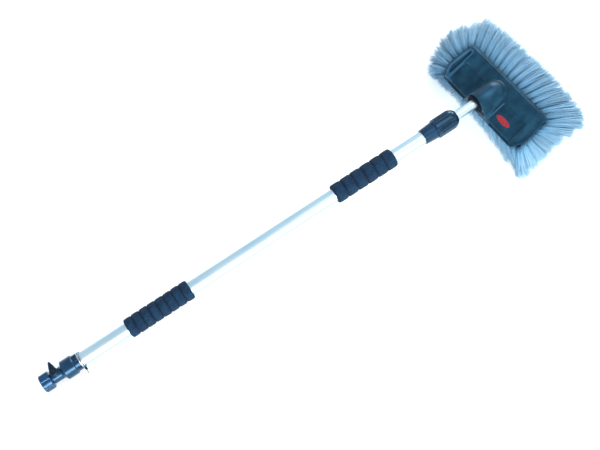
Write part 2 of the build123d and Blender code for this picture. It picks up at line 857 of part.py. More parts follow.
# ---------------------------------------------------------------- plate, gasket and screws
with BuildPart() as tuft_plate:
    with BuildSketch(head_plane(-underside_depth)) as plate_outline:
        Polygon(*head_corners(plate_margin + 0.1), align=None)
        fillet(plate_outline.vertices(), radius=corner_radius - 2.0)
    extrude(amount=plate_thickness - gasket_thickness)
    # water jets between the tuft rows
    with BuildSketch(head_plane(-underside_depth)):
        with Locations((0, head_width / 2)):
            with GridLocations(jet_pitch, 2 * field_row_pitch, jet_columns, 2):
                Circle(jet_radius)
    extrude(amount=plate_thickness, mode=Mode.SUBTRACT)
    with BuildSketch(head_plane(-underside_depth)):
        with Locations((0, head_width / 2)):
            with GridLocations(2 * screw_x, 2 * screw_y, 2, 2):
                Circle(screw_radius + 0.2)
    extrude(amount=plate_thickness, mode=Mode.SUBTRACT)
    with BuildSketch(head_plane(-underside_depth)):
        with Locations((0, head_width / 2)):
            with GridLocations(2 * screw_x, 2 * screw_y, 2, 2):
                Circle(screw_head_radius + 0.2)
    extrude(amount=screw_head_height, mode=Mode.SUBTRACT)
save(tuft_plate, "tuft_plate")

with BuildPart() as plate_gasket:
    with BuildSketch(head_plane(plate_top - gasket_thickness)) as gasket_outline:
        Polygon(*head_corners(plate_margin + 0.6), align=None)
        fillet(gasket_outline.vertices(), radius=corner_radius - 2.0)
        with Locations((0, head_width / 2)):
            Rectangle(2 * chamber_half_length, 2 * chamber_half_width, mode=Mode.SUBTRACT)
            with GridLocations(2 * screw_x, 2 * screw_y, 2, 2):
                Circle(screw_radius + 0.4, mode=Mode.SUBTRACT)
    extrude(amount=gasket_thickness)
save(plate_gasket, "plate_gasket")

with BuildPart() as plate_screws:
    with BuildSketch(head_plane(-underside_depth)):
        with Locations((0, head_width / 2)):
            with GridLocations(2 * screw_x, 2 * screw_y, 2, 2):
                Circle(screw_head_radius)
    extrude(amount=screw_head_height)
    with BuildSketch(head_plane(-underside_depth)):
        with Locations((0, head_width / 2)):
            with GridLocations(2 * screw_x, 2 * screw_y, 2, 2):
                Circle(screw_radius)
    extrude(amount=screw_length)
save(plate_screws, "plate_screws")

# ---------------------------------------------------------------- threaded tip of the inner tube
tip_start = inner_tube_end - tip_spigot_length
with BuildPart() as tube_tip:
    with BuildSketch(side):
        with BuildLine():
            Polyline(
                (tip_start, tip_bore_radius),
                (tip_start, inner_tube_radius - inner_tube_wall),
                (inner_tube_end, inner_tube_radius - inner_tube_wall),
                (inner_tube_end, tip_nose_radius),
                (inner_tube_end + tip_nose_length, tip_nose_radius),
                (inner_tube_end + tip_nose_length, tip_bore_radius),
                close=True,
            )
        make_face()
    revolve(axis=pole_axis)
save(tube_tip, "tube_tip")

# ---------------------------------------------------------------- bristles
def bristle_block(root, tip):
    """Closed solid between a root outline on the underside and a tip outline on the trim plane."""
    with BuildPart() as block:
        with BuildSketch(head_plane(-underside_depth)):
            Polygon(*root, align=None)
        with BuildSketch(head_plane(-trim_depth)):
            Polygon(*tip, align=None)
        loft(ruled=True)
    return block


root_near = underside_inset
root_far = head_width - underside_inset
root_x = far_corner_x - underside_inset
tip_near = -near_reach
tip_far = head_width + far_reach
left_tip_x = half_length + left_reach
right_tip_x = half_length + right_reach
inner_root_x = root_x - tuft_band
inner_near_tip = tip_near + tip_band * 0.7
left_corner_x = left_tip_x - corner_trim
right_corner_x = right_tip_x - corner_trim / 3

for name, root_edge, root_band, tip_edge, tip_inner in (
    ("bristles_far", root_far, root_far - tuft_band, tip_far, tip_far - tip_band),
    ("bristles_near", root_near, root_near + tuft_band, tip_near, inner_near_tip),
):
    save(
        bristle_block(
            [
                (-root_x, root_edge),
                (root_x, root_edge),
                (inner_root_x, root_band),
                (-inner_root_x, root_band),
            ],
            [
                (-left_corner_x, tip_edge),
                (right_corner_x, tip_edge),
                (right_corner_x - tip_band, tip_inner),
                (-left_corner_x + tip_band, tip_inner),
            ],
        ),
        name,
    )

root_gap_near = root_near + bristle_gap
root_gap_far = root_far - bristle_gap
for name, hand, tip_x, corner_x in (
    ("bristles_left", -1, left_tip_x, left_corner_x),
    ("bristles_right", 1, right_tip_x, right_corner_x),
):
    trim = tip_x - corner_x
    save(
        bristle_block(
            [
                (hand * root_x, root_gap_far),
                (hand * root_x, root_gap_far - tuft_band),
                (hand * root_x, root_gap_near + tuft_band),
                (hand * root_x, root_gap_near),
                (hand * inner_root_x, root_gap_near + tuft_band),
                (hand * inner_root_x, root_gap_far - tuft_band),
            ],
            [
                (hand * corner_x, tip_far - bristle_gap),
                (hand * tip_x, tip_far - 2 * trim),
                (hand * tip_x, tip_near + 2 * trim),
                (hand * corner_x, tip_near + bristle_gap),
                (hand * (corner_x - tip_band), inner_near_tip + bristle_gap),
                (hand * (corner_x - tip_band), tip_far - tip_band - bristle_gap),
            ],
        ),
        name,
    )

field_half = inner_root_x - 4.0
with BuildPart() as bristles_field:
    for row in range(field_rows):
        offset_along = (row - (field_rows - 1) / 2) * field_row_pitch
        root_along = head_width / 2 + offset_along
        tip_along = root_along + field_lean + offset_along * field_spread
        with BuildSketch(head_plane(-underside_depth)):
            with Locations((0, root_along)):
                Rectangle(2 * field_half, field_row_width)
        with BuildSketch(head_plane(-trim_depth)):
            with Locations((0, tip_along)):
                Rectangle(2 * field_half + 20.0, field_row_width + 5.0)
        loft(ruled=True)
save(bristles_field, "bristles_field")
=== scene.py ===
# %% [markdown]
# # A flow-through wash brush on a telescopic pole
#
# This lesson dresses a finished CAD model. The frame is loaded first, and nothing in it is moved: every
# new surface takes its place from the CAD parts, in metres. Metal and moulded parts keep their CAD shape
# and get a finish. The soft parts, foam and bristles, are built anew as real surfaces.

import json
import math

import bpy
import numpy as np
from mathutils import Matrix, Vector


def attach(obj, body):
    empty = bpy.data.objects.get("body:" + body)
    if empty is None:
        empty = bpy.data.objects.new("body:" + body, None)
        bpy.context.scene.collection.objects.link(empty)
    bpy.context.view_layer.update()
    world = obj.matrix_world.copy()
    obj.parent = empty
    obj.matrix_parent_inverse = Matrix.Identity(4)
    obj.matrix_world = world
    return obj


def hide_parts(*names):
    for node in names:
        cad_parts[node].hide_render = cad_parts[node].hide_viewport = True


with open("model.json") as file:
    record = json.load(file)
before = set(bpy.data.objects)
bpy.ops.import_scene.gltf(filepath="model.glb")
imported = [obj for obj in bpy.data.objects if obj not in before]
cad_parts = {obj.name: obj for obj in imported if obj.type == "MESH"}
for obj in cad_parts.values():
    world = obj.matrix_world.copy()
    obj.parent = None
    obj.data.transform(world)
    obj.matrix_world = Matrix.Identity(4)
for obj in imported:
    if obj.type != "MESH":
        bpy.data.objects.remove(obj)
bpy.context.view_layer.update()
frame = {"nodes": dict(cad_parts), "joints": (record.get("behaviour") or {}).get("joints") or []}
nodes = frame["nodes"]
MM = 0.001

# %% [markdown]
# ## Directions on the object
#
# The pole lies a little off the floor's plane, and the head is set at an angle to the pole. Writing every
# place as a station along the pole, or as a place on the head, keeps later formulas short. The joints
# already hold the pole's direction, and the plate under the head holds the head's direction.

# %% Pole and head directions
joints = {joint["name"]: joint for joint in frame["joints"]}
across = np.array([1.0, 0.0, 0.0])
run = np.array(joints["pole_slide"]["axis"], float)
rise = np.array(joints["valve_turn"]["axis"], float)
on_axis = np.array(joints["hose_nut_turn"]["pos_m"], float)


def corners_of(name):
    """All corner points of a CAD node as an array of rows x, y, z."""
    mesh = nodes[name].data
    flat = np.empty(len(mesh.vertices) * 3, np.float32)
    mesh.vertices.foreach_get("co", flat)
    return flat.reshape(-1, 3).astype(float)


def main_normal(name):
    """Normal of the largest flat face direction of a CAD node, turned to point up."""
    mesh = nodes[name].data
    normals = np.empty(len(mesh.polygons) * 3, np.float32)
    areas = np.empty(len(mesh.polygons), np.float32)
    mesh.polygons.foreach_get("normal", normals)
    mesh.polygons.foreach_get("area", areas)
    best = normals.reshape(-1, 3)[np.argmax(areas)].astype(float)
    return best * np.sign(best[2])


mouth = on_axis + run * ((corners_of("hose_nut") - on_axis) @ run).min()
lift = main_normal("tuft_plate")
reach = np.cross(lift, across)
underside = (corners_of("tuft_plate") @ lift).min()
near_edge = (corners_of("head_block") @ reach).min()
head_origin = across * mouth[0] + lift * underside + reach * near_edge
lying = math.atan2(run[2], run[1])
head_slope = math.atan2(reach[2], reach[1])
print("pole lies at", round(math.degrees(lying), 2), "degrees, head at", round(math.degrees(head_slope), 2))


def stations(name):
    """First and last station, in metres from the hose nut's mouth, of a CAD node."""
    along = (corners_of(name) - mouth) @ run
    return along.min(), along.max()


def on_pole(station, right, up):
    """Points at a station along the pole, and right of and above its axis."""
    sideways = np.multiply.outer(right, across) + np.multiply.outer(up, rise)
    return mouth + np.multiply.outer(station, run) + sideways


def on_head(x, along, out):
    """Points on the head: x to the right, along from the near edge, out upwards from the underside."""
    return head_origin + x[..., None] * across + along[..., None] * reach + out[..., None] * lift


# %% [markdown]
# ## Small helpers
#
# Colours are written as on a paint chart, in sRGB, and Blender wants linear light, so one function turns
# them. One more function adds a shader node with its settings, fills its sockets and links it. A third
# puts arrays of points and faces into a mesh at once, far quicker than adding them one by one.

# %% Colour and node helpers
def linear(chart):
    """sRGB hex colour to linear RGBA: each channel c becomes ((c + 0.055) / 1.055) to the power 2.4."""
    channels = np.array([int(chart[i : i + 2], 16) for i in (1, 3, 5)]) / 255
    low = channels / 12.92
    high = ((channels + 0.055) / 1.055) ** 2.4
    return (*np.where(channels <= 0.04045, low, high).tolist(), 1.0)


def add(tree, kind, inputs=None, stops=(), **settings):
    """Adds a shader node and sets its properties and, on a colour ramp, its (place, sRGB colour) stops.
    Then fills each input with a value or links it to a socket."""
    node = tree.nodes.new("ShaderNode" + kind)
    for name, value in settings.items():
        setattr(node, name, value)
    if stops:
        elements = node.color_ramp.elements
        while len(elements) < len(stops):
            elements.new(0.5)
        for element, (place, chart) in zip(elements, stops):
            element.position = place
            element.color = linear(chart)
    for name, value in (inputs or {}).items():
        if isinstance(value, bpy.types.NodeSocket):
            tree.links.new(value, node.inputs[name])
        else:
            node.inputs[name].default_value = value
    return node


def new_material(name):
    """A node material with no nodes yet, and its node tree."""
    material = bpy.data.materials.new(name)
    material.use_nodes = True
    material.node_tree.nodes.clear()
    print("material:", name)
    return material, material.node_tree


def pattern_space(tree, cell, slope):
    """Object coordinates turned to the pole or head and divided by a cell size in millimetres."""
    place = add(tree, "TexCoord").outputs["Object"]
    size = tuple(side * MM for side in cell)
    turned = add(
        tree,
        "Mapping",
        {"Vector": place, "Location": tuple(mouth), "Rotation": (slope, 0, 0), "Scale": size},
        vector_type="TEXTURE",
    )
    return turned.outputs["Vector"]


def finish_with(tree, inputs):
    """Adds the surface shader with these inputs, and the output node."""
    shader = add(tree, "BsdfPrincipled", inputs)
    add(tree, "OutputMaterial", {"Surface": shader.outputs["BSDF"]})


# %% Mesh helpers
def make_piece(name, points, quads=None, triangles=None, uv=None, relief=None):
    """Puts points (n, 3) and faces (n, 4) and (n, 3) into a smooth mesh object at the origin. The map and
    the relief, from -1 in a crease to 1 on a raised edge, are given per point."""
    groups = [np.asarray(faces) for faces in (quads, triangles) if faces is not None]
    corners = np.concatenate([faces.ravel() for faces in groups])
    sizes = np.concatenate([np.full(len(faces), faces.shape[1]) for faces in groups])
    mesh = bpy.data.meshes.new(name)
    mesh.vertices.add(len(points))
    mesh.vertices.foreach_set("co", np.asarray(points, np.float32).ravel())
    mesh.loops.add(len(corners))
    mesh.loops.foreach_set("vertex_index", corners.astype(np.int32))
    mesh.polygons.add(len(sizes))
    mesh.polygons.foreach_set("loop_start", (np.cumsum(sizes) - sizes).astype(np.int32))
    if uv is not None:
        layer = mesh.uv_layers.new(name="UVMap")
        layer.data.foreach_set("uv", np.asarray(uv, np.float32)[corners].ravel())
    if relief is not None:
        layer = mesh.attributes.new("relief", "FLOAT", "POINT")
        layer.data.foreach_set("value", relief.astype(np.float32))
    mesh.update(calc_edges=True)
    mesh.shade_smooth()
    piece = bpy.data.objects.new(name, mesh)
    bpy.context.scene.collection.objects.link(piece)
    print(f"{name}: {len(points)} points, {len(sizes)} faces")
    return piece


def grid_quads(rows, columns, wrap_rows, wrap_columns):
    """Faces of a grid of rows x columns points, closed round in either direction where asked."""
    row = np.arange(rows if wrap_rows else rows - 1)[:, None]
    column = np.arange(columns if wrap_columns else columns - 1)[None, :]
    next_row = (row + 1) % rows
    next_column = (column + 1) % columns
    sides = [
        row * columns + column,
        row * columns + next_column,
        next_row * columns + next_column,
        next_row * columns + column,
    ]
    return np.stack(np.broadcast_arrays(*sides), -1).reshape(-1, 4)


# %% [markdown]
# ## Drawn and anodised aluminium
#
# Both tubes are drawn through a die and then anodised. Drawing leaves faint lines along the tube, and
# anodising turns the mirror into an even satin. A noise pattern that is stretched along the pole gives
# the lines. Real die lines are about 0.1 mm apart. They are drawn 0.7 mm apart here so that they show.

# %% Aluminium
DIE_LINE = (0.7, 90, 0.7)
SATIN_PATCH = (14, 60, 14)
EDGE_TINT = "#7d97a6"


def drawn_aluminium(name, chart, shaded, smooth, rough):
    """Metal whose colour and roughness waver in lines along the pole. Its edges reflect a cooler tint."""
    material, tree = new_material(name)
    line_space = pattern_space(tree, DIE_LINE, lying)
    lines = add(tree, "TexNoise", {"Vector": line_space, "Scale": 1.0, "Detail": 3.0})
    patch_space = pattern_space(tree, SATIN_PATCH, lying)
    clouds = add(tree, "TexNoise", {"Vector": patch_space, "Scale": 1.0, "Detail": 2.0})
    colour = add(tree, "ValToRGB", {"Fac": clouds.outputs["Fac"]}, stops=((0.3, shaded), (0.65, chart)))
    roughness = add(tree, "MapRange", {"Value": lines.outputs["Fac"], "To Min": smooth, "To Max": rough})
    bump = add(tree, "Bump", {"Height": lines.outputs["Fac"], "Strength": 0.25, "Distance": 0.05 * MM})
    finish_with(
        tree,
        {
            "Base Color": colour.outputs["Color"],
            "Metallic": 1.0,
            "Roughness": roughness.outputs["Result"],
            "Specular Tint": linear(EDGE_TINT),
            "Normal": bump.outputs["Normal"],
        },
    )
    return material


outer_aluminium = drawn_aluminium("anodised_drawn_aluminium", "#dcf3fb", "#cfecf8", 0.28, 0.42)
inner_aluminium = drawn_aluminium("anodised_drawn_aluminium_fine", "#def4f7", "#d2edf2", 0.26, 0.38)

# %% [markdown]
# ## Turned aluminium
#
# The ring behind the valve is turned on a lathe, so its fine grooves run round the pole. A band pattern
# along the pole's direction gives them, 0.6 mm apart.

# %% Ferrule finish
ferrule_finish, tree = new_material("turned_aluminium")
grooves = add(
    tree,
    "TexWave",
    {"Vector": pattern_space(tree, (1, 0.6, 1), lying), "Scale": 0.32, "Distortion": 0.4, "Detail": 1.0},
    bands_direction="Y",
)
bump = add(tree, "Bump", {"Height": grooves.outputs["Fac"], "Strength": 0.4, "Distance": 0.05 * MM})
tones = ((0.0, "#b9c9d2"), (1.0, "#dfeaf0"))
colour = add(tree, "ValToRGB", {"Fac": grooves.outputs["Fac"]}, stops=tones)
roughness = add(tree, "MapRange", {"Value": grooves.outputs["Fac"], "To Min": 0.2, "To Max": 0.34})
finish_with(
    tree,
    {
        "Base Color": colour.outputs["Color"],
        "Metallic": 1.0,
        "Roughness": roughness.outputs["Result"],
        "Specular Tint": linear("#6f8796"),
        "Normal": bump.outputs["Normal"],
    },
)

# %% [markdown]
# ## Moulded black plastics
#
# Valve, nuts and head are injection moulded. The steel mould was lightly eroded, so the skin has a fine
# grain, and handling has polished it unevenly. Black plastic under a cool sky looks a deep blue, and the
# base colours allow for that. Edges are painted paler, as wear and as a painted highlight: their mask
# compares the true normal with one rounded off over a small radius. Where a piece carries a relief number
# on its points, creases get a painted shade, darker and matt, and raised edges a painted highlight.

# %% Moulded plastic
REFLECTED_SKY = linear("#8fc4f0")
# Painted shade: creases are mixed towards this near-black.
PAINTED_CREASE_SHADE = linear("#050c12")
HANDLED_PATCH = (22, 30, 22)
MIX_A, MIX_B, MIX_RESULT = 6, 7, 2  # the colour sockets of a Mix node


def moulded_plastic(name, dark, pale, wear_and_highlight_colour, grain, smooth, rough, slope, edge=0.8, gloss=0.5):
    """Grained plastic: grain cell in mm, roughness range, and paler edges, wear and a painted highlight, of a
    radius in mm. Gloss is the strength of its reflections, where 0.5 is plain plastic."""
    material, tree = new_material(name)
    grain_space = pattern_space(tree, (grain,) * 3, slope)
    skin = add(tree, "TexNoise", {"Vector": grain_space, "Scale": 1.0, "Detail": 2.0})
    patch_space = pattern_space(tree, HANDLED_PATCH, slope)
    clouds = add(tree, "TexNoise", {"Vector": patch_space, "Scale": 1.0, "Detail": 4.0})
    patches = clouds.outputs["Fac"]
    rounded = add(tree, "Bevel", {"Radius": edge * MM}, samples=4).outputs["Normal"]
    true_normal = add(tree, "NewGeometry").outputs["Normal"]
    likeness = add(tree, "VectorMath", {0: rounded, 1: true_normal}, operation="DOT_PRODUCT")
    # Edge mask: edges are mixed to a paler colour, as wear and as a painted highlight.
    edge_wear_and_highlight = add(
        tree, "MapRange", {"Value": likeness.outputs["Value"], "From Min": 0.99, "From Max": 0.80}
    )
    broken = add(tree, "Math", {0: edge_wear_and_highlight.outputs["Result"], 1: patches}, operation="MULTIPLY")
    body = add(tree, "ValToRGB", {"Fac": patches}, stops=((0.32, dark), (0.68, pale)))
    relief = add(tree, "Attribute", attribute_name="relief").outputs["Fac"]
    # Painted shade in creases: darker colour and matt where the relief is below zero.
    crease = add(
        tree, "MapRange", {"Value": relief, "From Min": -0.35, "From Max": -1.0, "To Max": 0.8}
    ).outputs["Result"]
    shaded = add(
        tree, "Mix", {0: crease, MIX_A: body.outputs["Color"], MIX_B: PAINTED_CREASE_SHADE}, data_type="RGBA"
    )
    # Painted highlight on raised edges, in the paler colour, where the relief is above zero.
    raised = add(tree, "MapRange", {"Value": relief, "From Min": 0.25, "From Max": 1.1, "To Max": 0.5})
    edges = add(
        tree, "Math", {0: broken.outputs["Value"], 1: raised.outputs["Result"]}, operation="MAXIMUM"
    )
    colour = add(
        tree,
        "Mix",
        {0: edges.outputs["Value"], MIX_A: shaded.outputs[MIX_RESULT], MIX_B: linear(wear_and_highlight_colour)},
        data_type="RGBA",
    )
    handled = add(tree, "MapRange", {"Value": patches, "To Min": rough, "To Max": smooth})
    roughness = add(tree, "Math", {0: handled.outputs["Result"], 1: crease}, operation="MAXIMUM")
    bump = add(
        tree,
        "Bump",
        {
            "Height": skin.outputs["Fac"],
            "Strength": 0.35,
            "Distance": 0.12 * MM,
            "Normal": rounded,
        },
    )
    finish_with(
        tree,
        {
            "Base Color": colour.outputs[MIX_RESULT],
            "Roughness": roughness.outputs["Value"],
            "IOR": 1.5,
            "Specular IOR Level": gloss,
            "Specular Tint": REFLECTED_SKY,
            "Normal": bump.outputs["Normal"],
        },
    )
    return material


# The fourth colour of each plastic is the paler colour of edge wear and painted highlight.
valve_plastic = moulded_plastic(
    "moulded_abs_black", "#0c2236", "#15344e", "#5f93bd", 0.9, 0.18, 0.28, lying, 0.6, 0.9
)
nut_plastic = moulded_plastic(
    "moulded_nylon_black", "#091a28", "#122b42", "#6b9fc8", 1.1, 0.16, 0.24, lying, 0.6, 0.9
)
# Painted light: the hose nut's base colours are paler than the lock nut's nylon, standing in for its brighter
# lit facets; its lower roughness and stronger gloss are polish.
hose_nut_lit_plastic = moulded_plastic(
    "moulded_nylon_polished_painted_lit", "#0d2740", "#1a4870", "#8fbfe4", 1.1, 0.12, 0.20, lying, 0.6, 1.0
)
lever_plastic = moulded_plastic(
    "moulded_acetal_black", "#0a1622", "#101f2e", "#2b4459", 0.9, 0.34, 0.5, lying
)
head_plastic = moulded_plastic(
    "moulded_polypropylene_black", "#0f2736", "#1c4358", "#3b6b8a", 1.2, 0.32, 0.44, head_slope, 1.0, 0.4
)
# Painted shade: the socket ring is a near-black, low-gloss copy of the head's polypropylene, dark like the
# hood's mouth in shade.
socket_painted_shade_plastic = moulded_plastic(
    "moulded_polypropylene_matt_painted_shade", "#060d14", "#0b1620", "#122434", 1.2, 0.7, 0.9, head_slope, 0.5, 0.12
)
white_acetal = moulded_plastic(
    "moulded_acetal_natural", "#d8d7d0", "#e6e5de", "#efeee8", 0.9, 0.35, 0.5, lying
)

# %% [markdown]
# ## Small hard parts
#
# The oval inlay is a plain red moulding with a gloss. The clip is spring wire, blackened in oil. Screws
# are zinc plated, the ball and its stem are brass, and seals are nitrile rubber.

# %% Inlay, wire, screws, brass and rubber
def small_part(name, low, high, cell, metallic, smooth, rough, slope=lying):
    """A finish whose colour and roughness follow one noise pattern, with its cell size in mm."""
    material, tree = new_material(name)
    cells = add(tree, "TexNoise", {"Vector": pattern_space(tree, cell, slope), "Scale": 1.0, "Detail": 3.0})
    bump = add(tree, "Bump", {"Height": cells.outputs["Fac"], "Strength": 0.2, "Distance": 0.06 * MM})
    colour = add(tree, "ValToRGB", {"Fac": cells.outputs["Fac"]}, stops=((0.3, low), (0.7, high)))
    roughness = add(tree, "MapRange", {"Value": cells.outputs["Fac"], "To Min": smooth, "To Max": rough})
    finish_with(
        tree,
        {
            "Base Color": colour.outputs["Color"],
            "Metallic": metallic,
            "Roughness": roughness.outputs["Result"],
            "Normal": bump.outputs["Normal"],
        },
    )
    return material


inlay_red = small_part("moulded_abs_red", "#8c1c28", "#aa2935", (3, 3, 3), 0.0, 0.22, 0.32, head_slope)
spring_wire = small_part("oil_blackened_spring_steel", "#0c1820", "#1a2c38", (1.5, 1.5, 1.5), 0.3, 0.4, 0.55)
screw_zinc = small_part("zinc_plated_steel", "#9fb0ba", "#c3d2da", (1, 1, 1), 1.0, 0.25, 0.4)
strainer_steel = small_part("woven_stainless_steel", "#a8b0b4", "#c8d0d4", (0.6, 0.6, 0.6), 1.0, 0.25, 0.4)
brass = small_part("machined_brass", "#b08d4a", "#d0ad66", (1, 0.6, 1), 1.0, 0.2, 0.35)
nitrile = small_part("moulded_nitrile_rubber", "#101316", "#1c2024", (1.5, 1.5, 1.5), 0.0, 0.6, 0.8)

# %% [markdown]
# ## Foam
#
# The grips are sleeves of closed-cell rubber foam. Its cut skin is matt and full of fine pits. Cells of
# about 0.6 mm are drawn 1.3 mm across so that they show. Light hardly reaches the bottom of the ground
# grooves, so the relief number, -1 at the bottom, darkens them.

# %% Foam finish
foam, tree = new_material("closed_cell_nitrile_foam")
pits = add(tree, "TexVoronoi", {"Vector": pattern_space(tree, (1.3, 1.3, 1.3), lying), "Scale": 1.0})
clouds = add(tree, "TexNoise", {"Vector": pattern_space(tree, (9, 9, 9), lying), "Scale": 1.0, "Detail": 4.0})
soft = add(tree, "Math", {0: pits.outputs["Distance"], 1: clouds.outputs["Fac"]}, operation="MULTIPLY")
depth = add(tree, "Attribute", attribute_name="relief").outputs["Fac"]
lit = add(tree, "MapRange", {"Value": depth, "From Min": -1.0, "From Max": 0.0, "To Min": 0.15})
shaded = add(tree, "Math", {0: soft.outputs["Value"], 1: lit.outputs["Result"]}, operation="MULTIPLY")
bump = add(tree, "Bump", {"Height": pits.outputs["Distance"], "Strength": 0.5, "Distance": 0.35 * MM})
tones = ((0.05, "#0a1c2e"), (0.45, "#1c3c58"))
colour = add(tree, "ValToRGB", {"Fac": shaded.outputs["Value"]}, stops=tones)
finish_with(
    tree,
    {
        "Base Color": colour.outputs["Color"],
        "Roughness": 0.85,
        "Specular IOR Level": 0.15,
        "Sheen Weight": 0.04,
        "Sheen Roughness": 0.5,
        "Normal": bump.outputs["Normal"],
    },
)

# %% [markdown]
# ## Bristle filament
#
# Bristles are drawn plastic filament, pale blue, with split ends that look lighter, and a painted shade
# darkens them at their roots. Each strand carries a map: its first number runs from root to tip, its
# second is a shade of its own. So no two neighbours match, and tufts stay readable, as in a real brush.

# %% Filament finish
filament, tree = new_material("flagged_polypropylene_filament")
strand_map = add(tree, "UVMap", uv_map="UVMap").outputs["UV"]
parts = add(tree, "SeparateXYZ", {"Vector": strand_map})
# Painted shade: the dark first stop darkens each strand at its root; the pale last stops are the split ends.
shaded_root_to_pale_tip = ((0.0, "#16384f"), (0.14, "#639dc0"), (0.34, "#8bc4e6"), (1.0, "#b4def4"))
body = add(tree, "ValToRGB", {"Fac": parts.outputs["X"]}, stops=shaded_root_to_pale_tip).outputs["Color"]
shade = add(tree, "MapRange", {"Value": parts.outputs["Y"], "To Min": 0.74, "To Max": 1.06})
colour = add(
    tree,
    "Mix",
    {0: 1.0, MIX_A: body, MIX_B: shade.outputs["Result"]},
    data_type="RGBA",
    blend_type="MULTIPLY",
)
finish_with(
    tree,
    {
        "Base Color": colour.outputs[MIX_RESULT],
        "Roughness": 0.45,
        "IOR": 1.49,
    },
)

# %% [markdown]
# ## Giving the CAD parts their finish
#
# A CAD part keeps its mesh. Only its material changes.

# %% Assign
finishes = {
    outer_aluminium: ("outer_tube",),
    inner_aluminium: ("inner_tube",),
    ferrule_finish: ("tube_ferrule",),
    valve_plastic: ("valve_body", "hose_tail", "lock_sleeve"),
    nut_plastic: ("lock_nut",),
    hose_nut_lit_plastic: ("hose_nut",),
    lever_plastic: ("valve_lever",),
    head_plastic: ("head_block", "tuft_plate"),
    white_acetal: ("valve_seat_back", "valve_seat_front", "lock_collet", "piston", "tube_tip"),
    inlay_red: ("badge",),
    spring_wire: ("spring_clip", "lever_screw"),
    screw_zinc: ("plate_screws",),
    strainer_steel: ("hose_strainer",),
    brass: ("valve_ball", "valve_stem"),
    nitrile: ("hose_washer", "stem_seal", "tube_seal", "gland_seal", "piston_seals", "plate_gasket"),
}
for material, names in finishes.items():
    for name in names:
        nodes[name].data.materials.clear()
        nodes[name].data.materials.append(material)
print("finished CAD parts:", sum(len(names) for names in finishes.values()))

# %% [markdown]
# ## Foam grips
#
# Each grip is a sleeve with grooves ground into it, so it bulges between them. Its outline is carried
# round the pole. Foam is never exact, so each ring is a little thicker or thinner than the next, and low
# waves dimple the whole surface by less than half a millimetre.

# %% Foam sleeve surface
GRIP_RINGS = {"foam_grip_lower": 8, "foam_grip_upper": 6}
GROOVE_DEPTH = 1.9 * MM
EDGE_ROUND = 2.2 * MM
RING_SPREAD = 0.12 * MM
DIMPLE = 0.06 * MM
DIMPLE_WAVES = ((3, 90), (5, -140), (9, 260), (14, 410))  # waves round the grip, radians per metre along
STEPS_PER_RING = 22
AROUND = 120
BORE_STEPS = 12
BORE_GAP = 0.02 * MM
ring_noise = np.random.default_rng(11)


def foam_sleeve(name, rings):
    """Radius is full less the groove depth times one minus the ring's bulge, where the bulge is
    1 - |2f - 1| to the power 5 for the share f of a ring. Ends are rounded off like a quarter circle.
    The bore closes the outline, so the sleeve is a closed ring-shaped surface."""
    first, last = stations(name)
    spread = corners_of(name) - mouth
    full = np.linalg.norm(spread - np.multiply.outer(spread @ run, run), axis=1).max()
    bore = np.abs(corners_of("outer_tube")[:, 0] - mouth[0]).max()
    station = np.linspace(first, last, rings * STEPS_PER_RING + 1)
    rings_along = (station - first) / (last - first) * rings
    share = rings_along % 1.0
    share[-1] = 1.0
    bulge = 1 - np.abs(2 * share - 1) ** 5
    to_end = np.minimum(station - first, last - station)
    into_round = np.clip(EDGE_ROUND - to_end, 0, None)
    end_drop = EDGE_ROUND - np.sqrt(np.clip(EDGE_ROUND**2 - into_round**2, 0, None))
    angle = np.linspace(0, 2 * np.pi, AROUND, endpoint=False)
    spare = ring_noise.normal(0, RING_SPREAD, rings + 1)
    ring_size = spare[np.minimum(rings_along, rings).astype(int)]
    phase = ring_noise.uniform(0, 2 * np.pi, len(DIMPLE_WAVES))
    dimple = sum(
        np.sin(k * angle[None, :] + phase[i] + station[:, None] * turns)
        for i, (k, turns) in enumerate(DIMPLE_WAVES)
    )
    radius = (full - GROOVE_DEPTH * (1 - bulge) - end_drop + ring_size)[:, None] + dimple * DIMPLE
    outer = on_pole(station[:, None] + 0 * angle, radius * np.sin(angle), radius * np.cos(angle))
    bore_station = np.linspace(last, first, BORE_STEPS)
    bore_radius = bore + BORE_GAP + 0 * angle
    inner = on_pole(
        bore_station[:, None] + 0 * angle, bore_radius * np.sin(angle), bore_radius * np.cos(angle)
    )
    points = np.concatenate([outer, inner])
    quads = grid_quads(len(points), AROUND, True, True)
    creased = np.repeat(np.concatenate([bulge - 1, np.zeros(len(bore_station))]), AROUND)
    piece = make_piece(name + "_foam", points.reshape(-1, 3), quads[:, ::-1], relief=creased)
    piece.data.materials.append(foam)
    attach(piece, "handle")
    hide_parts(name)


for grip_name, grip_rings in GRIP_RINGS.items():
    foam_sleeve(grip_name, grip_rings)

# %% [markdown]
# ## Brush head
#
# The block is one polypropylene moulding: a brim all round, sloping walls up to a deck, a sunk panel on
# each side, a pocket behind a lip at the left end, and a hood that takes the pole. A moulding has no
# sharp step, every foot runs into the deck with a fillet. A height over the plan is the natural way to
# draw that: each feature is a height of its own, and smooth highest or lowest of two blends them.

# %% Plan of the block
# Lengths on the head are in millimetres. The outline is half a length at four places along.
BLOCK_DEEP = 16.0
CORNER = 8.0
PLAN_ALONG = (0.0, 28.0, 61.0, 87.0)
PLAN_HALF = (106.0, 120.0, 117.3, 112.0)
block = (corners_of("head_block") - head_origin) @ np.stack([across, reach, lift], 1) / MM
HALF = block[:, 0].max()
DEPTH = block[:, 1].max()
print("head block is", round(2 * HALF, 1), "by", round(DEPTH, 1), "mm")


def half_width(along):
    """Half the block's length at a place along: straight runs softened over 4 mm, less the corner's
    quarter circle near both edges."""
    soft = sum(np.interp(along + shift, PLAN_ALONG, PLAN_HALF) for shift in (-4, -2, 0, 2, 4)) / 5
    from_edge = np.clip(CORNER - np.minimum(along, DEPTH - along), 0, CORNER)
    return soft - (CORNER - np.sqrt(CORNER**2 - from_edge**2))


